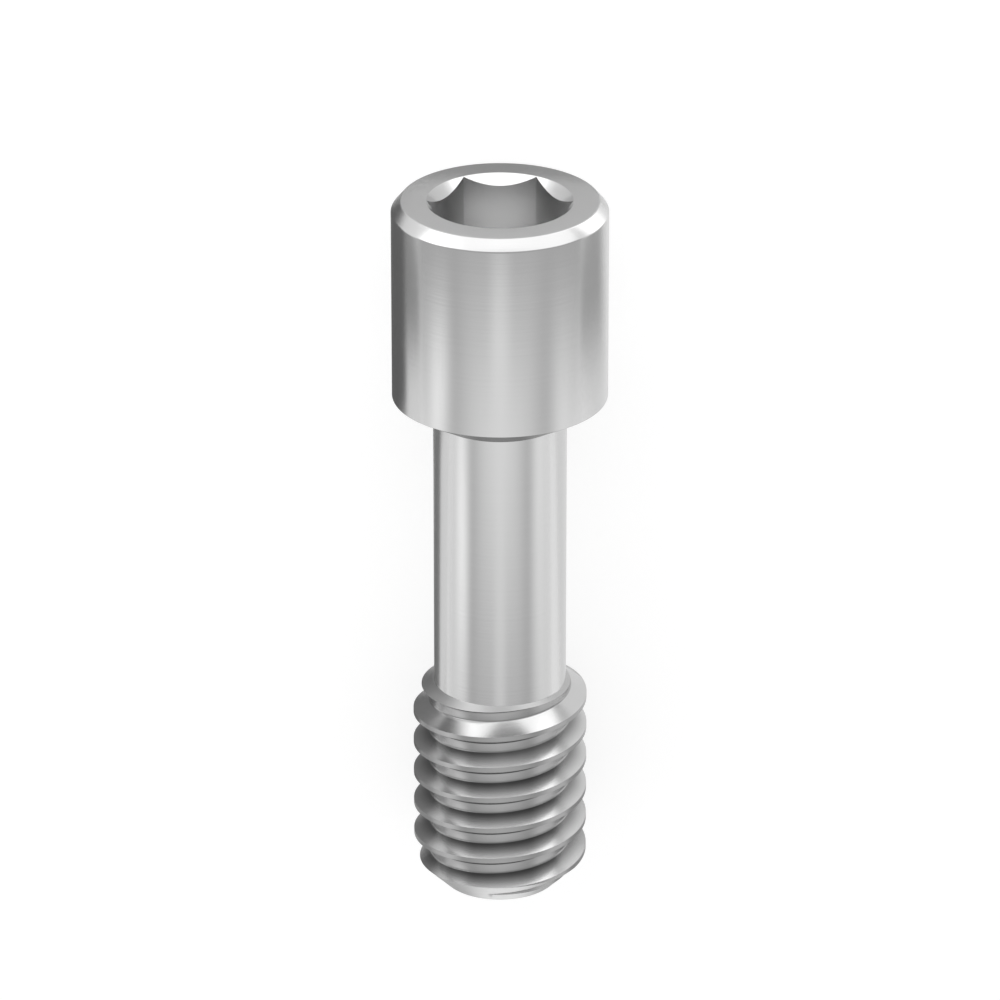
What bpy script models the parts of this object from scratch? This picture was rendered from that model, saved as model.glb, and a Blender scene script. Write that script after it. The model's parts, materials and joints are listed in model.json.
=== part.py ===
"""A one-piece dental abutment screw of titanium alloy, lying on a bench as it comes to rest.

Units are metres and +Z is up. The screw is modelled upright in its own frame, with the centre of
the head's top face at the origin and the tip down, and an empty then lays it down. It is made as
the real one is: a blank is turned, the thread is cut into it, and the socket is drilled,
countersunk and broached.
"""

import math

import bmesh
import bpy
from mathutils import Vector

MM = 0.001

# Head
HEAD_DIAMETER = 2.19 * MM
HEAD_HEIGHT = 2.11 * MM  # from the top face to the rim where the seat begins
TOP_FACE_DIAMETER = 2.00 * MM
TOP_CHAMFER_HEIGHT = 0.11 * MM

# Hexagon socket
SOCKET_ACROSS_FLATS = 1.27 * MM
SOCKET_DEPTH = 1.20 * MM  # from the top face to the end of the six flats
SOCKET_MOUTH_DIAMETER = 1.476 * MM  # of the countersink, at the top face
COUNTERSINK_HALF_ANGLE = math.radians(45)
PILOT_CLEARANCE = 0.015 * MM  # from the pilot hole's wall to a flat
PILOT_OVERRUN = 0.05 * MM  # the drill's full diameter goes this much deeper than the flats
DRILL_POINT_HALF_ANGLE = math.radians(59)

# Conical seat under the head, and the plain shank
SEAT_HALF_ANGLE = math.radians(60.5)
SHANK_DIAMETER = 1.36 * MM
SHANK_LENGTH = 2.97 * MM

# Thread: right hand, one start
THREAD_DIAMETER = 1.79 * MM
THREAD_PITCH = 0.35 * MM
THREAD_DEPTH = 0.17 * MM
CREST_FLAT = 0.052 * MM
FLANK_HALF_ANGLE = math.radians(30)
THREAD_LENGTH = 2.29 * MM  # from the shank to the tip face, with both chamfers
START_CHAMFER_ANGLE = math.radians(45)
TIP_CHAMFER = 0.30 * MM
FIRST_CREST = 0.272 * MM  # from the shank to the first crest on the screw's upper side

# Facets
SEGMENTS = 72  # round the screw, one of them flat on the bench
SEGMENT_ANGLE = math.tau / SEGMENTS
CUT_CLEARANCE = 0.2 * MM  # how far a cutter starts outside the metal
MERGE_DISTANCE = 0.0001 * MM

# Directions round the screw in its own frame, before it is laid down
UPPER_SIDE = math.radians(-90)
BENCH_SIDE = math.radians(90)

SEAT_TOP = HEAD_HEIGHT
SEAT_END = SEAT_TOP + (HEAD_DIAMETER - SHANK_DIAMETER) / 2 / math.tan(SEAT_HALF_ANGLE)
SHANK_END = SEAT_END + SHANK_LENGTH
LENGTH = SHANK_END + THREAD_LENGTH


def clear_scene() -> None:
    """Remove whatever the scene holds."""
    for obj in list(bpy.data.objects):
        bpy.data.objects.remove(obj, do_unlink=True)


def titanium() -> bpy.types.Material:
    """Return the satin grey of machined titanium alloy."""
    material = bpy.data.materials.new("titanium_alloy")
    material.use_nodes = True
    shader = material.node_tree.nodes["Principled BSDF"]
    shader.inputs["Base Color"].default_value = (0.55, 0.55, 0.55, 1.0)
    shader.inputs["Metallic"].default_value = 1.0
    shader.inputs["Roughness"].default_value = 0.28
    return material


def add_object(name: str, mesh_data: bmesh.types.BMesh) -> bpy.types.Object:
    """Put a finished bmesh into the scene as an object, with its faces pointing outwards."""
    bmesh.ops.remove_doubles(mesh_data, verts=mesh_data.verts, dist=MERGE_DISTANCE)
    bmesh.ops.recalc_face_normals(mesh_data, faces=mesh_data.faces)
    mesh = bpy.data.meshes.new(name)
    mesh_data.to_mesh(mesh)
    mesh_data.free()
    mesh.shade_smooth()
    mesh.set_sharp_from_angle(angle=math.radians(25))
    obj = bpy.data.objects.new(name, mesh)
    bpy.context.scene.collection.objects.link(obj)
    return obj


def point_at(angle: float, radius: float, depth: float) -> Vector:
    """Return the point at this angle round the axis, distance from it and depth below the top."""
    return Vector((radius * math.cos(angle), radius * math.sin(angle), -depth))


def turned(name: str, profile: list[tuple[float, float]]) -> bpy.types.Object:
    """Return the closed solid that a lathe makes of (radius, depth) points, top to bottom.

    The profile starts and ends on the axis. A facet, and not an edge, faces the bench.
    """
    mesh_data = bmesh.new()
    edge_angle = BENCH_SIDE + SEGMENT_ANGLE / 2
    verts = [mesh_data.verts.new(point_at(edge_angle, *point)) for point in profile]
    edges = [mesh_data.edges.new(pair) for pair in zip(verts, verts[1:])]
    bmesh.ops.spin(
        mesh_data,
        geom=verts + edges,
        cent=(0, 0, 0),
        axis=(0, 0, 1),
        angle=math.tau,
        steps=SEGMENTS,
        use_merge=True,
    )
    return add_object(name, mesh_data)


def make_blank() -> bpy.types.Object:
    """Turn the blank: head, conical seat, shank and the cylinder that takes the thread."""
    start_chamfer = (THREAD_DIAMETER - SHANK_DIAMETER) / 2 / math.tan(START_CHAMFER_ANGLE)
    return turned(
        "abutment_screw",
        [
            (0, 0),
            (TOP_FACE_DIAMETER / 2, 0),
            (HEAD_DIAMETER / 2, TOP_CHAMFER_HEIGHT),
            (HEAD_DIAMETER / 2, SEAT_TOP),
            (SHANK_DIAMETER / 2, SEAT_END),
            (SHANK_DIAMETER / 2, SHANK_END),
            (THREAD_DIAMETER / 2, SHANK_END + start_chamfer),
            (THREAD_DIAMETER / 2, LENGTH - TIP_CHAMFER),
            (THREAD_DIAMETER / 2 - TIP_CHAMFER, LENGTH),
            (0, LENGTH),
        ],
    )


def crest_depth(angle: float) -> float:
    """Return how deep the first turn's crest lies at this angle round the screw."""
    turn = (angle - UPPER_SIDE) / math.tau
    return SHANK_END + FIRST_CREST - turn * THREAD_PITCH


def make_thread_cutter() -> bpy.types.Object:
    """Wind the groove's section round the axis as a helix that runs out at both ends.

    The groove is deepest at the root and opens outwards along its two flanks. It passes a little
    beyond the crests, by less than would make one turn of the cutter meet the next.
    """
    crest_radius = THREAD_DIAMETER / 2
    root_radius = crest_radius - THREAD_DEPTH
    overcut = CREST_FLAT / 4
    flank_slope = math.tan(FLANK_HALF_ANGLE)
    mouth_half = (THREAD_PITCH - CREST_FLAT) / 2 + overcut * flank_slope
    root_half = (THREAD_PITCH - CREST_FLAT) / 2 - THREAD_DEPTH * flank_slope

    # It starts a turn above the shank's end and winds down until it has left the tip.
    start_angle = BENCH_SIDE + SEGMENT_ANGLE / 2
    start_depth = crest_depth(start_angle) - THREAD_PITCH / 2 - THREAD_PITCH
    turns = math.ceil((LENGTH - start_depth) / THREAD_PITCH) + 1
    mesh_data = bmesh.new()
    section = [
        mesh_data.verts.new(point_at(start_angle, radius, start_depth + offset))
        for radius, offset in (
            (root_radius, -root_half),
            (crest_radius + overcut, -mouth_half),
            (crest_radius + overcut, mouth_half),
            (root_radius, root_half),
        )
    ]
    face = mesh_data.faces.new(section)
    bmesh.ops.spin(
        mesh_data,
        geom=[face],
        cent=(0, 0, 0),
        axis=(0, 0, 1),
        dvec=(0, 0, -THREAD_PITCH / SEGMENTS),
        angle=-math.tau * turns,
        steps=SEGMENTS * turns,
    )
    return add_object("thread_cutter", mesh_data)


def make_pilot_drill() -> bpy.types.Object:
    """Return the drilled pilot hole that clears the broach, with its conical point."""
    radius = SOCKET_ACROSS_FLATS / 2 - PILOT_CLEARANCE
    shoulder = SOCKET_DEPTH + PILOT_OVERRUN
    return turned(
        "pilot_drill",
        [
            (0, -CUT_CLEARANCE),
            (radius, -CUT_CLEARANCE),
            (radius, shoulder),
            (0, shoulder + radius / math.tan(DRILL_POINT_HALF_ANGLE)),
        ],
    )


def make_countersink() -> bpy.types.Object:
    """Return the cone that breaks the socket's mouth."""
    mouth_radius = SOCKET_MOUTH_DIAMETER / 2
    slope = math.tan(COUNTERSINK_HALF_ANGLE)
    return turned(
        "countersink",
        [
            (0, -CUT_CLEARANCE),
            (mouth_radius + CUT_CLEARANCE * slope, -CUT_CLEARANCE),
            (0, mouth_radius / slope),
        ],
    )


def make_broach() -> bpy.types.Object:
    """Return the hexagonal prism that cuts the six flats, with two corners at the sides."""
    corner_radius = SOCKET_ACROSS_FLATS / math.sqrt(3)
    mesh_data = bmesh.new()
    corners = [
        mesh_data.verts.new(point_at(math.tau * corner / 6, corner_radius, -CUT_CLEARANCE))
        for corner in range(6)
    ]
    top = mesh_data.faces.new(corners)
    pushed = bmesh.ops.extrude_face_region(mesh_data, geom=[top], use_keep_orig=True)["geom"]
    bmesh.ops.translate(
        mesh_data,
        vec=(0, 0, -CUT_CLEARANCE - SOCKET_DEPTH),
        verts=[item for item in pushed if isinstance(item, bmesh.types.BMVert)],
    )
    return add_object("socket_broach", mesh_data)


def cut(target: bpy.types.Object, cutter: bpy.types.Object) -> None:
    """Subtract a cutter from the target and keep the cutter as a hidden guide."""
    modifier = target.modifiers.new(cutter.name, "BOOLEAN")
    modifier.operation = "DIFFERENCE"
    modifier.solver = "EXACT"
    modifier.object = cutter
    cutter.hide_render = True
    cutter.display_type = "WIRE"


def lay_down(pieces: list[bpy.types.Object]) -> None:
    """Lay the upright screw on the bench, its head towards +Y and its upper side up.

    It rests on the head's lower rim and on the last full crest above the tip's chamfer, so the
    axis rises towards the head by the angle between them. Both meet the bench with a facet, and
    the crest's lower edge touches at that facet's end, half a segment further down the helix.
    """
    to_facet = math.cos(SEGMENT_ANGLE / 2)
    head_reach = HEAD_DIAMETER / 2 * to_facet
    crest_reach = THREAD_DIAMETER / 2 * to_facet
    edge_depth = crest_depth(BENCH_SIDE - SEGMENT_ANGLE / 2) + CREST_FLAT / 2
    full_turns = math.floor((LENGTH - TIP_CHAMFER - edge_depth) / THREAD_PITCH)
    contact_depth = edge_depth + full_turns * THREAD_PITCH
    tilt = math.atan2(head_reach - crest_reach, contact_depth - SEAT_TOP)

    head_end = TOP_FACE_DIAMETER / 2 * to_facet * math.sin(tilt)
    tip_end = (THREAD_DIAMETER / 2 - TIP_CHAMFER) * to_facet * math.sin(tilt) + LENGTH * math.cos(tilt)
    pose = bpy.data.objects.new("lying_on_bench", None)
    pose.rotation_euler = (tilt - math.pi / 2, 0, 0)
    pose.location = (
        0,
        (tip_end - head_end) / 2,
        head_reach * math.cos(tilt) + SEAT_TOP * math.sin(tilt),
    )
    bpy.context.scene.collection.objects.link(pose)
    for piece in pieces:
        piece.parent = pose


def main() -> None:
    """Build the screw."""
    clear_scene()
    screw = make_blank()
    screw.data.materials.append(titanium())
    cutters = [make_broach(), make_pilot_drill(), make_countersink(), make_thread_cutter()]
    for cutter in cutters:
        cut(screw, cutter)
    lay_down([screw, *cutters])


main()
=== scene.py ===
"""A dental abutment screw of machined titanium alloy, finished and lit for a studio picture.

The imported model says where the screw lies. The script makes the same screw again as a workshop
would, with fine facets and broken edges: a blank is turned, a helical groove is cut for the
thread, and the socket is drilled, countersunk and broached. Each surface keeps the marks of the
tool that made it. A pale floor, softboxes, cards that the metal reflects and the camera complete
the studio.

Units are metres and +Z is up.
"""

from __future__ import annotations

import json
import logging
import math
from collections.abc import Sequence
from dataclasses import dataclass, field
from enum import Enum

import bmesh
import bpy
from mathutils import Matrix, Vector

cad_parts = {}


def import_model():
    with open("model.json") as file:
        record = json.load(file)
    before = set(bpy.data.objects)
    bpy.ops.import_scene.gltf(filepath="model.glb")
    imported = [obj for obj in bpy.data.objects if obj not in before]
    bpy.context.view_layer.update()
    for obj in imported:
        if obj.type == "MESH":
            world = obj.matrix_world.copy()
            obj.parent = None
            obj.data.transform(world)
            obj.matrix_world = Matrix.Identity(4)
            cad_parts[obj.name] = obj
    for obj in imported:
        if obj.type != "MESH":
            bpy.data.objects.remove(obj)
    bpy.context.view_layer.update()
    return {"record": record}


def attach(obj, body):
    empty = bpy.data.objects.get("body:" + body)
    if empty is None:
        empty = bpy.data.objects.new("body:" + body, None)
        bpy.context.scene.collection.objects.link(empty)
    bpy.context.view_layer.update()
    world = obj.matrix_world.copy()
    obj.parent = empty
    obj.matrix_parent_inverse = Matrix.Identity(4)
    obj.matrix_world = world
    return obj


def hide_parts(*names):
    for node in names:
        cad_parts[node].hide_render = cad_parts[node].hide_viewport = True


LOG = logging.getLogger("abutment_screw")

MM = 0.001
SEGMENTS = 288  # facets round every turned surface and in every turn of the thread
BREAK_SEGMENTS = 4  # facets across a broken edge or a fillet
SMOOTH_BELOW = math.radians(28)  # faces that meet at less than this are shaded as one
MERGE_DISTANCE = 0.0002 * MM
CUT_CLEARANCE = 0.2 * MM  # how far a cutter starts outside the metal
UPPER_SIDE = math.radians(-90)  # the upright screw's side that faces up once it lies down
CUTTER_START = math.pi / 2  # the angle round the axis at which the thread's cutter starts
FLAT_LEAN = 0.99  # a turned face is flat if more than this of its normal lies along the axis
FLANK_LEAN = 0.8  # how much of a flank's normal lies along the axis; a fillet's has less
ROOT_SHADE = (0.08, 0.50)  # pitches below the first crest where the roots' painted shade begins, and is full
ALONG_STEP = 0.04  # how much a step along the axis counts in the broach's long marks
CAD_NODE = "abutment_screw"
PIECE = "machined_screw"


class Surface(Enum):
    """The screw's surfaces by the tool that made them; each value is a material index."""

    TURNED = 0
    FACED = 1
    SEAT = 2
    CREST = 3
    FLANK = 4
    ROOT = 5
    BORED = 6
    BROACHED = 7
    RUNOUT = 8


class Lay(Enum):
    """The way a tool's marks run; each value names an output of the screw's own coordinates."""

    AROUND = "Around"
    HELICAL = "Helical"
    ALONG = "Along"


@dataclass(frozen=True)
class Corner:
    """A corner of a turned profile.

    Attributes:
        radius: Distance from the screw's axis.
        depth: Distance below the head's top face.
        surface: The surface between this corner and the next.
        edge_break: How far along both edges the corner is rounded off; 0 keeps it sharp.
    """

    radius: float
    depth: float
    surface: Surface
    edge_break: float = 0.0


@dataclass(frozen=True)
class Placement:
    """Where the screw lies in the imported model's frame.

    Attributes:
        top: Centre of the head's top face.
        axis: Unit vector along the screw's axis, from the tip to the head.
        length: Distance from the tip face to the top face.
    """

    top: Vector
    axis: Vector
    length: float

    @classmethod
    def from_record(cls, record: dict) -> Placement:
        """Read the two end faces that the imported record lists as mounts.

        Args:
            record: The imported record.

        Returns:
            The placement. The tip's mount lies on the axis and the top's lies beside the socket,
            so the top's centre is found along the axis from the tip.
        """
        mounts = {mount["name"]: mount for mount in record["mounts"]}
        tip = Vector(mounts["tip_face"]["pos_m"])
        axis = Vector(mounts["head_top_face"]["axis"]).normalized()
        length = (Vector(mounts["head_top_face"]["pos_m"]) - tip).dot(axis)
        return cls(top=tip + axis * length, axis=axis, length=length)

    @property
    def upper(self) -> Vector:
        """Unit vector from the axis to the side that faces up."""
        return Vector((1, 0, 0)).cross(self.axis)

    @property
    def matrix(self) -> Matrix:
        """The turn and shift from the upright screw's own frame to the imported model's."""
        turn = Matrix((Vector((1, 0, 0)), -self.upper, self.axis)).transposed()
        return Matrix.Translation(self.top) @ turn.to_4x4()


def point_at(angle: float, radius: float, depth: float) -> Vector:
    """Return the point at this angle round the axis, distance from it and depth below the top."""
    return Vector((radius * math.cos(angle), radius * math.sin(angle), -depth))


def add_mesh_object(
    name: str, shape: bmesh.types.BMesh, surface: Surface | None = None
) -> bpy.types.Object:
    """Merge a shape's doubles, point its faces outwards and link it as an object.

    Args:
        name: Name of the object and its mesh.
        shape: The finished shape, which is freed.
        surface: The surface that the shape has, or that it leaves as a tool.

    Returns:
        The new object, at the origin.
    """
    bmesh.ops.remove_doubles(shape, verts=shape.verts, dist=MERGE_DISTANCE)
    bmesh.ops.recalc_face_normals(shape, faces=shape.faces)
    if surface:
        for face in shape.faces:
            face.material_index = surface.value
    mesh = bpy.data.meshes.new(name)
    shape.to_mesh(mesh)
    shape.free()
    obj = bpy.data.objects.new(name, mesh)
    bpy.context.scene.collection.objects.link(obj)
    return obj


def round_off(shape: bmesh.types.BMesh, corners: list[bmesh.types.BMVert], reach: float) -> None:
    """Round off corners of an outline.

    Args:
        shape: The outline's mesh.
        corners: The corners.
        reach: How far along both edges each arc begins.
    """
    bmesh.ops.bevel(
        shape,
        geom=corners,
        offset=reach,
        offset_type="OFFSET",
        segments=BREAK_SEGMENTS,
        profile=0.5,
        affect="VERTICES",
        material=-1,
    )


def turn_on_lathe(name: str, corners: Sequence[Corner]) -> bpy.types.Object:
    """Make the closed solid of revolution of a profile.

    Args:
        name: Name of the object.
        corners: The profile from the axis, outside the metal, back to the axis, top to bottom.

    Returns:
        The solid, whose faces have the surfaces that the corners name.
    """
    shape = bmesh.new()
    verts = [shape.verts.new(point_at(0, corner.radius, corner.depth)) for corner in corners]
    for pair in zip(verts, verts[1:]):
        shape.edges.new(pair)
    for vert, corner in zip(verts, corners):
        if corner.edge_break:
            round_off(shape, [vert], corner.edge_break)
    bmesh.ops.spin(
        shape,
        geom=shape.verts[:] + shape.edges[:],
        cent=(0, 0, 0),
        axis=(0, 0, 1),
        angle=math.tau,
        steps=SEGMENTS,
        use_merge=True,
    )
    bmesh.ops.recalc_face_normals(shape, faces=shape.faces)
    for face in shape.faces:
        depth = -face.calc_center_median().z
        above = [corner for corner in corners if corner.depth <= depth]
        flat = abs(face.normal.z) > FLAT_LEAN
        face.material_index = (Surface.FACED if flat else above[-1].surface).value
    return add_mesh_object(name, shape)


@dataclass(frozen=True)
class Head:
    """The round head, chamfered at its top, with a conical seat under it."""

    diameter: float = 2.19 * MM
    height: float = 2.11 * MM
    top_face_diameter: float = 2.00 * MM
    chamfer_height: float = 0.11 * MM
    seat_half_angle: float = math.radians(60.5)
    edge_break: float = 0.010 * MM
    seat_edge_break: float = 0.003 * MM

    def corners(self) -> list[Corner]:
        """Return the profile of the head.

        Returns:
            The corners from the axis to the rim where the seat begins.
        """
        return [
            Corner(0, 0, Surface.FACED),
            Corner(self.top_face_diameter / 2, 0, Surface.TURNED, self.edge_break),
            Corner(self.diameter / 2, self.chamfer_height, Surface.TURNED, self.edge_break),
            Corner(self.diameter / 2, self.height, Surface.SEAT, self.seat_edge_break),
        ]

    def seat_end(self, shank_diameter: float) -> float:
        """Return how deep the seat meets a shank of this diameter."""
        return self.height + (self.diameter - shank_diameter) / 2 / math.tan(self.seat_half_angle)


@dataclass(frozen=True)
class Shank:
    """The plain shank between the seat and the thread."""

    diameter: float = 1.36 * MM
    length: float = 2.97 * MM
    seat_fillet: float = 0.004 * MM
    thread_fillet: float = 0.003 * MM

    def corners(self, start: float) -> list[Corner]:
        """Return the profile of the shank.

        Args:
            start: How deep the shank begins.

        Returns:
            The corners where the seat and the thread's first chamfer meet the shank.
        """
        return [
            Corner(self.diameter / 2, start, Surface.TURNED, self.seat_fillet),
            Corner(self.diameter / 2, start + self.length, Surface.TURNED, self.thread_fillet),
        ]


@dataclass(frozen=True)
class Thread:
    """The right-hand thread with one start, which runs out through a chamfer at both ends."""

    diameter: float = 1.79 * MM
    pitch: float = 0.35 * MM
    depth: float = 0.17 * MM
    crest_flat: float = 0.052 * MM
    flank_half_angle: float = math.radians(30)
    start_step: float = 0.004 * MM  # the narrow shoulder that the first chamfer begins with
    start_chamfer_angle: float = math.radians(56)
    tip_chamfer: float = 0.30 * MM
    first_crest: float = 0.272 * MM  # below the shank, on the screw's upper side
    overcut: float = 0.004 * MM  # how far the groove's section reaches past the crest
    root_fillet: float = 0.012 * MM
    tip_break: float = 0.010 * MM

    def corners(self, start: float, end: float, core_diameter: float) -> list[Corner]:
        """Return the profile of the cylinder that takes the thread.

        Args:
            start: How deep the shank ends.
            end: How deep the tip face lies.
            core_diameter: Diameter of the shank that the first chamfer rises from.

        Returns:
            The corners from the first chamfer's top to the tip's centre.
        """
        chamfer_start = core_diameter / 2 + self.start_step
        rise = (self.diameter / 2 - chamfer_start) / math.tan(self.start_chamfer_angle)
        return [
            Corner(chamfer_start, start, Surface.RUNOUT),
            Corner(self.diameter / 2, start + rise, Surface.CREST),
            Corner(self.diameter / 2, end - self.tip_chamfer, Surface.RUNOUT),
            Corner(self.diameter / 2 - self.tip_chamfer, end, Surface.FACED, self.tip_break),
            Corner(0, end, Surface.FACED),
        ]

    def groove_section(self) -> list[tuple[float, float]]:
        """Return the groove's section, which opens outwards from a flat root.

        Returns:
            Its corners as (radius, offset along the axis) from its middle. The flanks go on a
            little past the crest.
        """
        crest_radius = self.diameter / 2
        root_radius = crest_radius - self.depth
        flank_slope = math.tan(self.flank_half_angle)
        crest_half = (self.pitch - self.crest_flat) / 2
        upper_half = [
            (root_radius, crest_half - self.depth * flank_slope),
            (crest_radius + self.overcut, crest_half + self.overcut * flank_slope),
        ]
        lower_half = [(radius, -offset) for radius, offset in reversed(upper_half)]
        return upper_half + lower_half

    def cutter(self, start: float, end: float) -> bpy.types.Object:
        """Wind the groove's section round the axis, from above the first chamfer to past the tip.

        Args:
            start: How deep the shank ends.
            end: How deep the tip face lies.

        Returns:
            The helical cutter.
        """
        turned = (CUTTER_START - UPPER_SIDE) / math.tau
        crest = start + self.first_crest - turned * self.pitch
        middle = crest - self.pitch / 2 - self.pitch  # a full turn above the first groove
        turns = math.ceil((end - middle) / self.pitch) + 1
        shape = bmesh.new()
        section = [
            shape.verts.new(point_at(CUTTER_START, radius, middle + offset))
            for radius, offset in self.groove_section()
        ]
        for pair in zip(section, section[1:] + section[:1]):
            shape.edges.new(pair)
        round_off(shape, [section[0], section[-1]], self.root_fillet)
        bmesh.ops.spin(
            shape,
            geom=shape.verts[:] + shape.edges[:],
            cent=(0, 0, 0),
            axis=(0, 0, 1),
            dvec=(0, 0, -self.pitch / SEGMENTS),
            angle=-math.tau,
            steps=SEGMENTS,
        )
        first_turn = shape.verts[:] + shape.edges[:] + shape.faces[:]
        for turn in range(1, turns):
            copied = bmesh.ops.duplicate(shape, geom=first_turn)["geom"]
            moved = [item for item in copied if isinstance(item, bmesh.types.BMVert)]
            bmesh.ops.translate(shape, vec=(0, 0, -self.pitch * turn), verts=moved)
        bmesh.ops.remove_doubles(shape, verts=shape.verts, dist=MERGE_DISTANCE)
        open_ends = [edge for edge in shape.edges if edge.is_boundary]
        bmesh.ops.holes_fill(shape, edges=open_ends)
        bmesh.ops.recalc_face_normals(shape, faces=shape.faces)
        for face in shape.faces:
            leans = abs(face.normal.z) > FLANK_LEAN
            face.material_index = (Surface.FLANK if leans else Surface.ROOT).value
        return add_mesh_object("thread_cutter", shape)


@dataclass(frozen=True)
class Socket:
    """The hexagon socket: a drilled pilot hole, a countersunk mouth and six broached flats."""

    across_flats: float = 1.27 * MM
    depth: float = 1.20 * MM
    mouth_diameter: float = 1.476 * MM
    countersink_half_angle: float = math.radians(45)
    pilot_clearance: float = 0.015 * MM
    pilot_overrun: float = 0.05 * MM
    drill_point_half_angle: float = math.radians(59)

    def pilot_drill(self) -> bpy.types.Object:
        """Make the drill that clears the broach.

        Returns:
            The drill, with its conical point.
        """
        radius = self.across_flats / 2 - self.pilot_clearance
        shoulder = self.depth + self.pilot_overrun
        point = shoulder + radius / math.tan(self.drill_point_half_angle)
        corners = [
            Corner(0, -CUT_CLEARANCE, Surface.BORED),
            Corner(radius, -CUT_CLEARANCE, Surface.BORED),
            Corner(radius, shoulder, Surface.BORED),
            Corner(0, point, Surface.BORED),
        ]
        return turn_on_lathe("pilot_drill", corners)

    def countersink(self) -> bpy.types.Object:
        """Make the countersink.

        Returns:
            The cone that opens the socket's mouth.
        """
        slope = math.tan(self.countersink_half_angle)
        corners = [
            Corner(0, -CUT_CLEARANCE, Surface.BORED),
            Corner(self.mouth_diameter / 2 + CUT_CLEARANCE * slope, -CUT_CLEARANCE, Surface.BORED),
            Corner(0, self.mouth_diameter / 2 / slope, Surface.BORED),
        ]
        return turn_on_lathe("countersink", corners)

    def broach(self) -> bpy.types.Object:
        """Make the hexagonal tool that cuts the flats.

        Returns:
            The broach, with two of its corners at the sides.
        """
        corner_radius = self.across_flats / math.sqrt(3)
        shape = bmesh.new()
        bmesh.ops.create_cone(
            shape,
            cap_ends=True,
            segments=6,
            radius1=corner_radius,
            radius2=corner_radius,
            depth=self.depth + CUT_CLEARANCE,
            matrix=Matrix.Translation((0, 0, (CUT_CLEARANCE - self.depth) / 2))
            @ Matrix.Rotation(math.pi / 2, 4, "Z"),
        )
        return add_mesh_object("broach", shape, Surface.BROACHED)


@dataclass(frozen=True)
class MachinedFinish:
    """The look that a cutting tool leaves on the titanium.

    Attributes:
        name: Name of the material.
        lay: The way the tool's marks run.
        grey: Mean reflectance of the metal, which some surfaces set darker or lighter as painted shade
        and painted light.
        shaded_root_grey: Reflectance at the thread's root, to which the flanks between two turns
        darken as painted shade; by default the same all over.
        grey_spread: How much the reflectance varies from mark to mark.
        roughness: Mean roughness.
        roughness_spread: How much the roughness varies.
        mark_spacing: Usual distance between marks, in millimetres.
        mark_depth: Height of the marks.
    """

    name: str
    lay: Lay
    grey: float = 0.62
    shaded_root_grey: float | None = None
    grey_spread: float = 0.03
    roughness: float = 0.20
    roughness_spread: float = 0.06
    mark_spacing: float = 0.03
    mark_depth: float = 0.0004 * MM

    def material(self, groups: FinishGroups) -> bpy.types.Material:
        """Build the node material of this finish.

        Args:
            groups: The node groups that all finishes share.

        Returns:
            The material.
        """
        material = bpy.data.materials.new(self.name)
        material.use_nodes = True
        tree = material.node_tree
        shader = tree.nodes["Principled BSDF"]
        shader.inputs["Metallic"].default_value = 1.0
        own_frame = add_group(tree, groups.screw_frame)
        marks = add_group(
            tree,
            groups.tool_marks,
            {"Spacing": self.mark_spacing, "Vector": own_frame.outputs[self.lay.value]},
        )
        grain = add_group(tree, groups.satin_grain, {"Vector": own_frame.outputs["Along"]})
        tone = add_group(
            tree,
            groups.spread,
            {
                "Mean": self.grey,
                "Spread": self.grey_spread,
                "A": marks.outputs["Marks"],
                "B": grain.outputs["Cloud"],
            },
        )
        # Painted shade: the flanks darken towards the root, below the first turn
        if self.shaded_root_grey is not None:
            shade = add_group(
                tree,
                groups.painted_root_shade,
                {
                    "Radius": own_frame.outputs["Radius"],
                    "Depth": own_frame.outputs["Depth"],
                    "Root": self.shaded_root_grey,
                    "Crest": self.grey,
                },
            )
            tree.links.new(shade.outputs["Value"], tone.inputs["Mean"])
        polish = add_group(
            tree,
            groups.spread,
            {
                "Mean": self.roughness,
                "Spread": self.roughness_spread,
                "A": marks.outputs["Marks"],
                "B": grain.outputs["Grain"],
            },
        )
        relief = {"Strength": 1.0, "Distance": self.mark_depth, "Height": marks.outputs["Marks"]}
        bump = add_node(tree, "Bump", relief)
        tree.links.new(tone.outputs["Value"], shader.inputs["Base Color"])
        tree.links.new(polish.outputs["Value"], shader.inputs["Roughness"])
        tree.links.new(bump.outputs["Normal"], shader.inputs["Normal"])
        return material


def add_node(
    tree: bpy.types.NodeTree, kind: str, inputs: dict | None = None, **settings: object
) -> bpy.types.Node:
    """Add a node, set its properties and feed its inputs.

    Args:
        tree: The tree that takes the node.
        kind: The node's type name, without the ShaderNode prefix.
        inputs: For each input's name or number, a socket to link or a value to set.
        **settings: Properties of the node.

    Returns:
        The node.
    """
    node = tree.nodes.new("ShaderNode" + kind)
    for name, value in settings.items():
        setattr(node, name, value)
    feed(tree, node, inputs or {})
    return node


def add_group(
    tree: bpy.types.NodeTree, group: bpy.types.NodeTree, inputs: dict | None = None
) -> bpy.types.Node:
    """Place a shared node group in a tree and feed its inputs.

    Args:
        tree: The tree that takes the group.
        group: The group.
        inputs: For each input's name, a socket to link or a value to set.

    Returns:
        The group's node.
    """
    node = tree.nodes.new("ShaderNodeGroup")
    node.node_tree = group
    feed(tree, node, inputs or {})
    return node


def feed(tree: bpy.types.NodeTree, node: bpy.types.Node, inputs: dict) -> None:
    """Link or set a node's inputs.

    Args:
        tree: The node's tree.
        node: The node.
        inputs: For each input's name or number, a socket to link or a value to set.
    """
    for key, value in inputs.items():
        if isinstance(value, bpy.types.NodeSocket):
            tree.links.new(value, node.inputs[key])
        else:
            node.inputs[key].default_value = value


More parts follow.
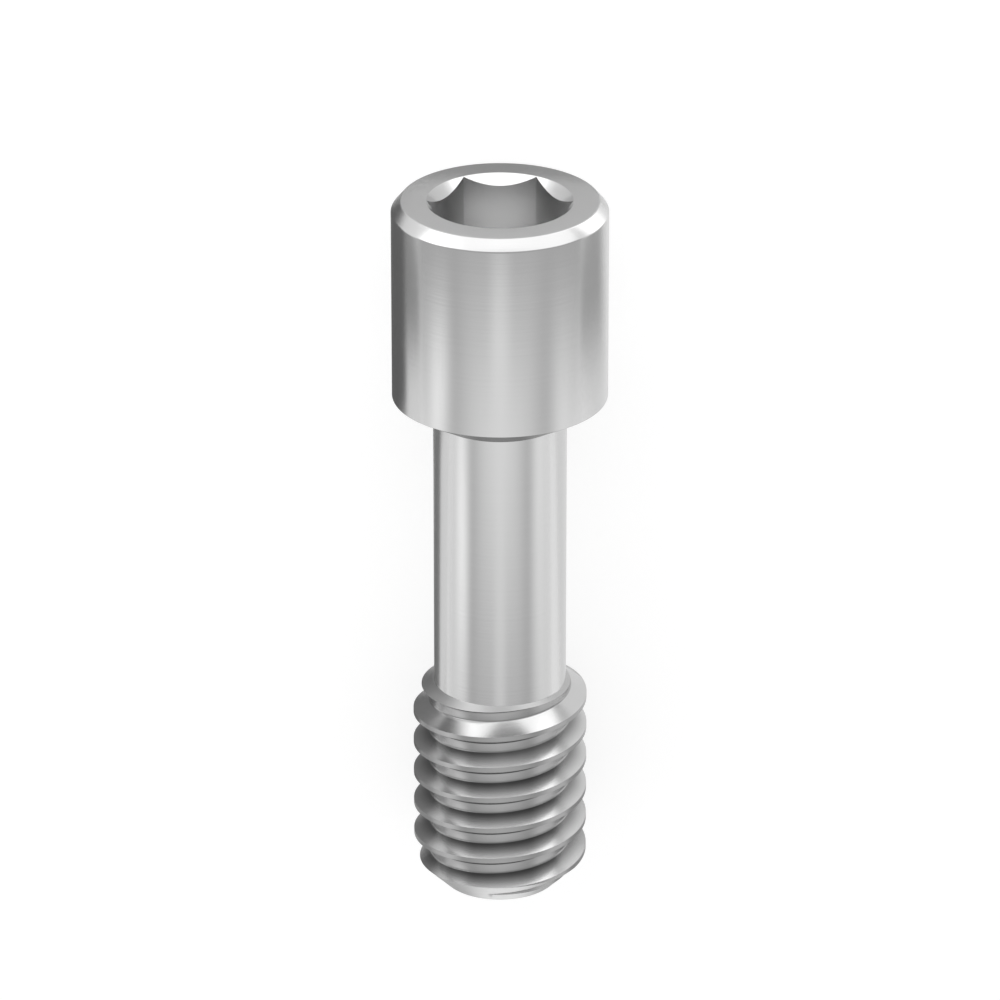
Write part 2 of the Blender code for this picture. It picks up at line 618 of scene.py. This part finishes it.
def new_group(
    name: str, inputs: dict[str, str], outputs: dict[str, str]
) -> tuple[bpy.types.NodeTree, bpy.types.Node, bpy.types.Node]:
    """Start a shader node group with named sockets.

    Args:
        name: Name of the group.
        inputs: Socket type of each input.
        outputs: Socket type of each output.

    Returns:
        The group, its input node and its output node.
    """
    group = bpy.data.node_groups.new(name, "ShaderNodeTree")
    for direction, sockets in (("INPUT", inputs), ("OUTPUT", outputs)):
        for socket, kind in sockets.items():
            group.interface.new_socket(name=socket, in_out=direction, socket_type="NodeSocket" + kind)
    return group, group.nodes.new("NodeGroupInput"), group.nodes.new("NodeGroupOutput")


def soft_edges_group() -> bpy.types.NodeTree:
    """Build the group that is 1 in a sheet's middle and fades to 0 at its edges.

    Returns:
        The group. Its Place runs from 0 to 1 across the sheet and along it. Its Softness is the
        share of half of each side over which the sheet fades.
    """
    inputs = {"Place": "Vector", "Softness": "Vector"}
    group, starts, ends = new_group("soft_edges", inputs, {"Mask": "Float"})
    fade_starts = add_node(
        group, "VectorMath", {0: (1, 1, 1), 1: starts.outputs["Softness"]}, operation="SUBTRACT"
    )
    inner = add_node(group, "SeparateXYZ", {0: fade_starts.outputs[0]})
    centred = add_node(
        group,
        "VectorMath",
        {0: starts.outputs["Place"], 1: (2, 2, 0), 2: (-1, -1, 0)},
        operation="MULTIPLY_ADD",
    )
    off_centre = add_node(group, "VectorMath", {0: centred.outputs[0]}, operation="ABSOLUTE")
    sides = add_node(group, "SeparateXYZ", {0: off_centre.outputs[0]})
    fades = [
        add_node(
            group,
            "MapRange",
            {
                "Value": sides.outputs[side],
                "From Min": inner.outputs[side],
                "From Max": 1.0,
                "To Min": 1.0,
                "To Max": 0.0,
            },
            interpolation_type="SMOOTHSTEP",
        ).outputs[0]
        for side in ("X", "Y")
    ]
    mask = add_node(group, "Math", {0: fades[0], 1: fades[1]}, operation="MULTIPLY")
    group.links.new(mask.outputs[0], ends.inputs["Mask"])
    return group


@dataclass
class FinishGroups:
    """The node groups that the finishes share.

    Attributes:
        placement: Where the screw lies.
        thread: The screw's thread.
        thread_start: How deep the shank ends.
        screw_frame: Gives a point's place on the screw.
        tool_marks: Gives the lines that a cutting tool leaves.
        satin_grain: Gives the grain of the tumbled surface.
        spread: Spreads a value about its mean.
        painted_root_shade: Paints shade on the flanks, from the thread's root to its crest.
    """

    placement: Placement
    thread: Thread
    thread_start: float
    screw_frame: bpy.types.NodeTree = field(init=False)
    tool_marks: bpy.types.NodeTree = field(init=False)
    satin_grain: bpy.types.NodeTree = field(init=False)
    spread: bpy.types.NodeTree = field(init=False)
    painted_root_shade: bpy.types.NodeTree = field(init=False)

    def __post_init__(self) -> None:
        """Build the groups."""
        self.screw_frame = self._screw_frame()
        self.tool_marks = self._tool_marks()
        self.satin_grain = self._satin_grain()
        self.spread = self._spread()
        self.painted_root_shade = self._painted_root_shade()

    def _screw_frame(self) -> bpy.types.NodeTree:
        """Build the group that gives a point's place on the screw, in millimetres.

        Returns:
            The group. Each lay's output changes quickly across a tool's marks and slowly or not at
            all along them. Radius is the distance from the axis, and Depth that below the top.
        """
        outputs = {lay.value: "Vector" for lay in Lay} | {"Radius": "Float", "Depth": "Float"}
        group, _, ends = new_group("screw_frame", {}, outputs)
        place = add_node(group, "TexCoord")
        own = add_node(group, "Mapping", {"Vector": place.outputs["Object"]}, vector_type="TEXTURE")
        own.inputs["Location"].default_value = self.placement.top
        own.inputs["Rotation"].default_value = self.placement.matrix.to_euler()
        own.inputs["Scale"].default_value = (MM, MM, MM)
        parts = add_node(group, "SeparateXYZ", {0: own.outputs[0]})
        flat = add_node(group, "CombineXYZ", {"X": parts.outputs["X"], "Y": parts.outputs["Y"]})
        radius = add_node(group, "VectorMath", {0: flat.outputs[0]}, operation="LENGTH").outputs["Value"]
        around = add_node(group, "CombineXYZ", {"X": radius, "Y": parts.outputs["Z"]})

        pitch = self.thread.pitch / MM
        angle = add_node(group, "Math", {0: parts.outputs["Y"], 1: parts.outputs["X"]}, operation="ARCTAN2")
        climb = add_node(group, "Math", {0: parts.outputs["Z"], 1: math.tau / pitch}, operation="MULTIPLY")
        phase = add_node(group, "Math", {0: climb.outputs[0], 1: angle.outputs[0]}, operation="SUBTRACT")
        circle = []
        for operation in ("COSINE", "SINE"):
            wave = add_node(group, "Math", {0: phase.outputs[0]}, operation=operation)
            scaled = add_node(group, "Math", {0: wave.outputs[0], 1: pitch / math.tau}, operation="MULTIPLY")
            circle.append(scaled.outputs[0])
        helical = add_node(group, "CombineXYZ", {"X": radius, "Y": circle[0], "Z": circle[1]})

        drawn_out = {0: own.outputs[0], 1: (1, 1, ALONG_STEP)}
        along = add_node(group, "VectorMath", drawn_out, operation="MULTIPLY")
        for lay, vector in ((Lay.AROUND, around), (Lay.HELICAL, helical), (Lay.ALONG, along)):
            group.links.new(vector.outputs[0], ends.inputs[lay.value])
        depth = add_node(group, "Math", {0: parts.outputs["Z"], 1: -1.0}, operation="MULTIPLY")
        group.links.new(radius, ends.inputs["Radius"])
        group.links.new(depth.outputs[0], ends.inputs["Depth"])
        return group

    @staticmethod
    def _tool_marks() -> bpy.types.NodeTree:
        """Build the group for the fine lines that a cutting tool leaves.

        Returns:
            The group, whose Marks run from 0 to 1.
        """
        inputs = {"Vector": "Vector", "Spacing": "Float"}
        group, starts, ends = new_group("tool_marks", inputs, {"Marks": "Float"})
        scale = add_node(group, "Math", {0: 1.0, 1: starts.outputs["Spacing"]}, operation="DIVIDE")
        noise = add_node(
            group,
            "TexNoise",
            {"Vector": starts.outputs["Vector"], "Scale": scale.outputs[0], "Detail": 3.0, "Roughness": 0.6},
        )
        group.links.new(noise.outputs[0], ends.inputs["Marks"])
        return group

    @staticmethod
    def _satin_grain() -> bpy.types.NodeTree:
        """Build the group for the grain of the tumbled surface and its faint clouds.

        Returns:
            The group, whose Grain and Cloud run from 0 to 1.
        """
        outputs = {"Grain": "Float", "Cloud": "Float"}
        group, starts, ends = new_group("satin_grain", {"Vector": "Vector"}, outputs)
        for name, scale in (("Grain", 60.0), ("Cloud", 2.5)):
            inputs = {"Vector": starts.outputs["Vector"], "Scale": scale, "Detail": 2.0}
            noise = add_node(group, "TexNoise", inputs)
            group.links.new(noise.outputs[0], ends.inputs[name])
        return group

    def _painted_root_shade(self) -> bpy.types.NodeTree:
        """Build the group that takes a value from one at the thread's root to one at its crest.

        Returns:
            The group, whose value is painted shade that darkens the flanks towards the root. The
            first flank, which no turn above it shades, has the crest's value all over.
        """
        inputs = {"Radius": "Float", "Depth": "Float", "Root": "Float", "Crest": "Float"}
        group, starts, ends = new_group("painted_root_shade", inputs, {"Value": "Float"})
        crest_radius = self.thread.diameter / 2 / MM
        first_crest = (self.thread_start + self.thread.first_crest) / MM
        pitch = self.thread.pitch / MM
        root = add_node(
            group,
            "MapRange",
            {
                "Value": starts.outputs["Depth"],
                "From Min": first_crest + pitch * ROOT_SHADE[0],
                "From Max": first_crest + pitch * ROOT_SHADE[1],
                "To Min": starts.outputs["Crest"],
                "To Max": starts.outputs["Root"],
            },
            interpolation_type="SMOOTHSTEP",
        )
        value = add_node(
            group,
            "MapRange",
            {
                "Value": starts.outputs["Radius"],
                "From Min": crest_radius - self.thread.depth / MM,
                "From Max": crest_radius,
                "To Min": root.outputs[0],
                "To Max": starts.outputs["Crest"],
            },
            interpolation_type="SMOOTHSTEP",
        )
        group.links.new(value.outputs[0], ends.inputs["Value"])
        return group

    @staticmethod
    def _spread() -> bpy.types.NodeTree:
        """Build the group that spreads a value about its mean by two masks.

        Returns:
            The group, whose Value is the mean where the masks average a half.
        """
        group, starts, ends = new_group(
            "spread", {"Mean": "Float", "Spread": "Float", "A": "Float", "B": "Float"}, {"Value": "Float"}
        )
        both = add_node(group, "Math", {0: starts.outputs["A"], 1: starts.outputs["B"]}, operation="ADD")
        centred = add_node(group, "Math", {0: both.outputs[0], 1: 1.0}, operation="SUBTRACT")
        value = add_node(
            group,
            "Math",
            {0: centred.outputs[0], 1: starts.outputs["Spread"], 2: starts.outputs["Mean"]},
            operation="MULTIPLY_ADD",
        )
        group.links.new(value.outputs[0], ends.inputs["Value"])
        return group


@dataclass
class AbutmentScrew:
    """The whole screw, which is one piece of metal."""

    placement: Placement
    head: Head = field(default_factory=Head)
    shank: Shank = field(default_factory=Shank)
    thread: Thread = field(default_factory=Thread)
    socket: Socket = field(default_factory=Socket)
    # Painted shade and light: the top, seat, crest, root and runout greys are darker and the socket's
    # lighter than the turned titanium's
    finishes: dict[Surface, MachinedFinish] = field(
        default_factory=lambda: {
            Surface.TURNED: MachinedFinish("turned_titanium", Lay.AROUND),
            Surface.FACED: MachinedFinish("faced_titanium", Lay.AROUND, grey=0.56),
            Surface.SEAT: MachinedFinish("seat_titanium", Lay.AROUND, grey=0.28, roughness=0.35),
            Surface.CREST: MachinedFinish(
                "crest_titanium", Lay.AROUND, grey=0.36, roughness=0.24, mark_depth=0.0002 * MM
            ),
            Surface.FLANK: MachinedFinish(
                "flank_titanium", Lay.HELICAL, grey=0.62, shaded_root_grey=0.22, mark_depth=0.0001 * MM
            ),
            Surface.ROOT: MachinedFinish(
                "root_titanium", Lay.HELICAL, grey=0.38, roughness=0.24, mark_depth=0.0002 * MM
            ),
            Surface.BORED: MachinedFinish("bored_titanium", Lay.AROUND, grey=0.75),
            Surface.BROACHED: MachinedFinish(
                "broached_titanium", Lay.ALONG, grey=0.85, roughness=0.22, mark_depth=0.0002 * MM
            ),
            Surface.RUNOUT: MachinedFinish("runout_titanium", Lay.AROUND, grey=0.52, roughness=0.40),
        }
    )

    def build(self) -> bpy.types.Object:
        """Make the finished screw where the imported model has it.

        Returns:
            The screw, with a material for each surface.
        """
        screw, cutters = self._blank_and_cutters()
        groups = FinishGroups(self.placement, self.thread, self._thread_start())
        materials = [self.finishes[surface].material(groups) for surface in Surface]
        for solid in (screw, *cutters):
            for material in materials:
                solid.data.materials.append(material)
        self._cut(screw, cutters)
        screw.data.shade_smooth()
        screw.data.set_sharp_from_angle(angle=SMOOTH_BELOW)
        screw.data.transform(self.placement.matrix)
        return screw

    def _thread_start(self) -> float:
        """Return how deep the shank ends and the thread's first chamfer begins."""
        return self.head.seat_end(self.shank.diameter) + self.shank.length

    def _blank_and_cutters(self) -> tuple[bpy.types.Object, list[bpy.types.Object]]:
        """Turn the blank and make the tools that cut it.

        Returns:
            The blank, and the cutters in the order they are used.
        """
        seat_end = self.head.seat_end(self.shank.diameter)
        shank_end = self._thread_start()
        end = self.placement.length
        corners = (
            self.head.corners()
            + self.shank.corners(seat_end)
            + self.thread.corners(shank_end, end, self.shank.diameter)
        )
        blank = turn_on_lathe(PIECE, corners)
        cutters = [
            self.socket.broach(),
            self.socket.pilot_drill(),
            self.socket.countersink(),
            self.thread.cutter(shank_end, end),
        ]
        return blank, cutters

    @staticmethod
    def _cut(target: bpy.types.Object, cutters: list[bpy.types.Object]) -> None:
        """Subtract the cutters from the target and remove them.

        Args:
            target: The solid that is cut, whose mesh is replaced by the result.
            cutters: The closed solids to subtract, in order.
        """
        for cutter in cutters:
            modifier = target.modifiers.new(cutter.name, "BOOLEAN")
            modifier.operation = "DIFFERENCE"
            modifier.solver = "MANIFOLD"
            modifier.object = cutter
        evaluated = target.evaluated_get(bpy.context.evaluated_depsgraph_get())
        cut_mesh = bpy.data.meshes.new_from_object(evaluated)
        target.modifiers.clear()
        target.data = cut_mesh
        for cutter in cutters:
            bpy.data.objects.remove(cutter, do_unlink=True)


@dataclass(frozen=True)
class Softbox:
    """A rectangular softbox that faces the screw.

    Attributes:
        name: Name of the lamp.
        centre: Its middle, in millimetres.
        size: Its width and height, in millimetres.
        radiance: How bright its middle is; 1 is a white surface in full light.
        softness: The share of its half width over which it fades at each edge.
    """

    name: str
    centre: tuple[float, float, float]
    size: tuple[float, float]
    radiance: float
    softness: float = 0.9

    def add(self, target: Vector, soft_edges: bpy.types.NodeTree) -> None:
        """Add the softbox as an area lamp, which the camera itself doesn't see.

        Args:
            target: The point that it faces.
            soft_edges: The group that fades it towards its edges.
        """
        width, height = (side * MM for side in self.size)
        light = bpy.data.lights.new(self.name, "AREA")
        light.shape = "RECTANGLE"
        light.size = width
        light.size_y = height
        light.energy = self.radiance * math.pi * width * height  # gives the sheet this radiance
        light.use_nodes = True
        tree = light.node_tree
        place = add_node(tree, "NewGeometry")
        inputs = {"Place": place.outputs["Parametric"], "Softness": (self.softness,) * 3}
        fade = add_group(tree, soft_edges, inputs)
        tree.links.new(fade.outputs["Mask"], tree.nodes["Emission"].inputs["Strength"])
        lamp = bpy.data.objects.new(self.name, light)
        lamp.location = Vector(self.centre) * MM
        lamp.rotation_euler = (target - lamp.location).to_track_quat("-Z", "Y").to_euler()
        lamp.visible_camera = False
        bpy.context.scene.collection.objects.link(lamp)


@dataclass(frozen=True)
class Card:
    """A grey card or a lit white board on the floor, which only the metal's reflections show.

    Attributes:
        name: Name of the card.
        centre: Its middle across and along the floor, in millimetres.
        size: Its width and length, in millimetres.
        turn: How far it is turned on the floor.
        grey: Its reflectance.
        fade: How wide its soft edges are, in millimetres.
        glow: How much light it gives off itself; 0 for a card that isn't lit.
    """

    name: str
    centre: tuple[float, float]
    size: tuple[float, float]
    turn: float
    grey: float
    fade: float = 1.0
    glow: float = 0.0

    def add(self, level: float, soft_edges: bpy.types.NodeTree) -> None:
        """Lay the card, which casts no shadow and which the camera itself doesn't see.

        Args:
            level: Height of the card.
            soft_edges: The group that fades it towards its edges.
        """
        place = Matrix.Translation((self.centre[0] * MM, self.centre[1] * MM, level))
        sides = Matrix.Diagonal((self.size[0] * MM, self.size[1] * MM, 1, 1))
        shape = bmesh.new()
        shape.loops.layers.uv.new("card")
        bmesh.ops.create_grid(shape, x_segments=1, y_segments=1, size=0.5, calc_uvs=True)
        bmesh.ops.transform(
            shape, verts=shape.verts, matrix=place @ Matrix.Rotation(self.turn, 4, "Z") @ sides
        )
        card = add_mesh_object(self.name, shape)
        card.data.materials.append(self._material(soft_edges))
        card.visible_camera = False
        card.visible_diffuse = False
        card.visible_shadow = False

    def _material(self, soft_edges: bpy.types.NodeTree) -> bpy.types.Material:
        """Build the card's material.

        Args:
            soft_edges: The group that fades it towards its edges.

        Returns:
            A matt grey, with its glow, that turns clear towards the edges.
        """
        material = bpy.data.materials.new(self.name)
        material.use_nodes = True
        tree = material.node_tree
        tree.nodes.clear()
        place = add_node(tree, "TexCoord")
        softness = (2 * self.fade / self.size[0], 2 * self.fade / self.size[1], 1)
        fade = add_group(tree, soft_edges, {"Place": place.outputs["UV"], "Softness": softness})
        matt = add_node(tree, "BsdfDiffuse", {"Color": (self.grey,) * 3 + (1,)})
        light = add_node(tree, "Emission", {"Strength": self.glow})
        board = add_node(tree, "AddShader", {0: matt.outputs[0], 1: light.outputs[0]})
        clear = add_node(tree, "BsdfTransparent")
        mixed = {0: fade.outputs["Mask"], 1: clear.outputs[0], 2: board.outputs[0]}
        both = add_node(tree, "MixShader", mixed)
        add_node(tree, "OutputMaterial", {"Surface": both.outputs[0]})
        return material


@dataclass(frozen=True)
class Viewpoint:
    """The camera's place, told from the centre of the head's top face.

    Attributes:
        distance: How far the top face's centre lies along the view.
        elevation: Angle of the view above the plane of the top face.
        aim_below_top: How far below the top face's centre the view's middle lies.
        lens: Focal length in millimetres.
    """

    distance: float = 68.5 * MM
    elevation: float = math.radians(24.835)
    aim_below_top: float = 2.9969 * MM
    lens: float = 246.6

    def add(self, placement: Placement) -> None:
        """Add the scene's camera.

        Args:
            placement: Where the screw lies.
        """
        across = Vector((1, 0, 0))
        forward = -placement.upper * math.cos(self.elevation) - placement.axis * math.sin(self.elevation)
        up = placement.axis * math.cos(self.elevation) - placement.upper * math.sin(self.elevation)
        data = bpy.data.cameras.new("camera")
        data.lens = self.lens
        data.sensor_width = 36.0
        data.clip_start = 1.0 * MM
        data.clip_end = 10.0
        camera = bpy.data.objects.new("camera", data)
        turn = Matrix((across, up, -forward)).transposed()
        place = placement.top - forward * self.distance - up * self.aim_below_top
        camera.matrix_world = Matrix.Translation(place) @ turn.to_4x4()
        bpy.context.scene.collection.objects.link(camera)
        bpy.context.scene.camera = camera


@dataclass(frozen=True)
class Studio:
    """The pale floor, the surrounding light, the softboxes and the cards.

    Attributes:
        floor_size: Length of the floor's sides.
        floor_grey: Reflectance of the floor.
        floor_glow_to_camera: Light that the floor gives off to the camera alone.
        floor_glow_to_metal: Light that it gives off to reflections near the screw.
        glow_reach: Distances at which the glow to metal begins to fade and has faded.
        far_glow: The share of that glow which is left beyond.
        room_grey: Brightness of the surroundings, which the camera sees as white.
        card_clearance: Height from each card to the next, so that no two share a plane.
        softboxes: The lamps.
        cards: The cards, from the lowest to the highest.
    """

    floor_size: float = 1.2
    floor_grey: float = 0.40
    floor_glow_to_camera: float = 0.74
    floor_glow_to_metal: float = 0.65
    glow_reach: tuple[float, float] = (8 * MM, 45 * MM)
    far_glow: float = 0.45
    room_grey: float = 0.55
    card_clearance: float = 0.01 * MM
    softboxes: tuple[Softbox, ...] = (
        Softbox("front_key", (0, 67.8, 43.4), (90, 50), 0.09),
        Softbox("back_wash", (0, -51.4, 62.3), (190, 90), 0.49),
        Softbox("left_strip", (-66.4, -35.3, 28.4), (26, 54), 0.48),
        Softbox("right_strip", (64.5, -34.3, 33.5), (26, 54), 0.16),
        Softbox("front_wall", (-1, 14, 4), (54, 16), 1.00, 0.3),
        Softbox("front_wall_left", (-12, 10, 4), (18, 15), 0.68),
        Softbox("low_left", (-14, -9.4, 3.5), (18, 19), 0.53),
        Softbox("low_right", (14, -9.4, 3.5), (18, 19), 0.57),
        Softbox("overhead_head", (0, -7.5, 27), (14, 14), 0.27),
        Softbox("overhead_mid", (0, -15, 27), (14, 14), 0.05),
    )
    # Painted shade and light in the metal's reflections: the darker cards stand for the floor's shadow
    # beside the screw, and the glowing reflectors give painted highlights
    cards: tuple[Card, ...] = (
        Card("left_front_card", (-11.0, -0.9), (20, 4.2), math.radians(24.5), 0.45, 1.6),
        Card("right_front_card", (11.0, -0.9), (20, 4.2), math.radians(-24.5), 0.64, 1.6),
        Card("top_card", (0.0, 4.5), (3.4, 2.2), 0.0, 0.95, 0.4),
        Card("tip_card", (0.0, -4.6), (16, 4.4), 0.0, 0.78, 1.2),
        Card("head_card", (0.0, 3.9), (2.6, 0.5), 0.0, 0.62, 0.2),
        Card("left_card", (-2.4, 2.4), (3.8, 5.0), math.radians(10), 0.20, 1.0),
        Card("shank_card", (-1.5, -1.3), (1.8, 4.6), math.radians(4), 0.35, 0.5),
        Card("left_reflector", (-5.1, 10.4), (3.0, 7.4), math.radians(12), 0.90, 0.9, 1.0),
        Card("right_reflector", (4.9, 9.5), (4.8, 13.0), math.radians(-10), 0.90, 1.0, 1.1),
        Card("left_shank_reflector", (-7.6, -3.9), (7.0, 4.0), math.radians(24.5), 0.90, 1.4, 0.4),
        Card("right_shank_reflector", (6.0, -2.8), (8.6, 4.4), math.radians(-24.5), 0.90, 1.4, 0.5),
        Card("tip_reflector", (0.1, -6.3), (2.0, 2.6), 0.0, 0.90, 0.6, 1.2),
    )

    def build(self, level: float, target: Vector) -> None:
        """Set up the studio.

        Args:
            level: Height of the floor.
            target: The point that the softboxes face.
        """
        self._floor(level)
        self._world()
        soft_edges = soft_edges_group()
        for softbox in self.softboxes:
            softbox.add(target, soft_edges)
        for layer, card in enumerate(self.cards, 1):
            card.add(level + layer * self.card_clearance, soft_edges)
        bpy.context.scene.view_settings.view_transform = "Standard"

    def _floor(self, level: float) -> None:
        """Lay the floor.

        Args:
            level: Height of the floor.
        """
        shape = bmesh.new()
        bmesh.ops.create_grid(
            shape,
            x_segments=1,
            y_segments=1,
            size=self.floor_size / 2,
            matrix=Matrix.Translation((0, 0, level)),
        )
        floor = add_mesh_object("floor", shape)
        floor.data.materials.append(self._floor_material())

    def _floor_material(self) -> bpy.types.Material:
        """Build the floor's material.

        Returns:
            A matt grey that glows towards the camera, and round the screw towards the metal.
        """
        material = bpy.data.materials.new("studio_floor")
        material.use_nodes = True
        tree = material.node_tree
        tree.nodes.clear()
        matt = add_node(tree, "BsdfDiffuse", {"Color": (self.floor_grey,) * 3 + (1,)})
        rays = add_node(tree, "LightPath")
        place = add_node(tree, "TexCoord")
        away = add_node(tree, "VectorMath", {0: place.outputs["Object"]}, operation="LENGTH")
        pool = add_node(
            tree,
            "MapRange",
            {
                "Value": away.outputs["Value"],
                "From Min": self.glow_reach[0],
                "From Max": self.glow_reach[1],
                "To Min": self.floor_glow_to_metal,
                "To Max": self.floor_glow_to_metal * self.far_glow,
            },
            interpolation_type="SMOOTHSTEP",
        )
        to_camera = {0: rays.outputs["Is Camera Ray"], 1: self.floor_glow_to_camera}
        seen = add_node(tree, "Math", to_camera, operation="MULTIPLY")
        glow = add_node(
            tree,
            "Math",
            {0: rays.outputs["Is Glossy Ray"], 1: pool.outputs[0], 2: seen.outputs[0]},
            operation="MULTIPLY_ADD",
        )
        light = add_node(tree, "Emission", {"Strength": glow.outputs[0]})
        both = add_node(tree, "AddShader", {0: matt.outputs[0], 1: light.outputs[0]})
        add_node(tree, "OutputMaterial", {"Surface": both.outputs[0]})
        return material

    def _world(self) -> None:
        """Surround the studio with an even grey that the camera sees as white."""
        world = bpy.data.worlds.new("studio_world")
        world.use_nodes = True
        tree = world.node_tree
        tree.nodes.clear()
        rays = add_node(tree, "LightPath")
        strength = add_node(
            tree,
            "MapRange",
            {"Value": rays.outputs["Is Camera Ray"], "To Min": self.room_grey, "To Max": 1.0},
        )
        light = add_node(tree, "Background", {"Strength": strength.outputs[0], "Color": (1, 1, 1, 1)})
        add_node(tree, "OutputWorld", {"Surface": light.outputs[0]})
        bpy.context.scene.world = world


def lowest_point(obj: bpy.types.Object) -> float:
    """Return the height of an object's lowest vertex."""
    return min(vert.co.z for vert in obj.data.vertices)


def main() -> None:
    """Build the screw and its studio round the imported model."""
    logging.basicConfig(level=logging.INFO, format="%(name)s: %(message)s")
    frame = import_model()
    placement = Placement.from_record(frame["record"])
    screw = AbutmentScrew(placement).build()
    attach(screw, "root")
    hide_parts(CAD_NODE)
    LOG.info("%s: %d faces, %d vertices", screw.name, len(screw.data.polygons), len(screw.data.vertices))
    Viewpoint().add(placement)
    Studio().build(lowest_point(screw), placement.top - placement.axis * placement.length / 2)
    bpy.context.view_layer.update()


if __name__ == "__main__":
    main()
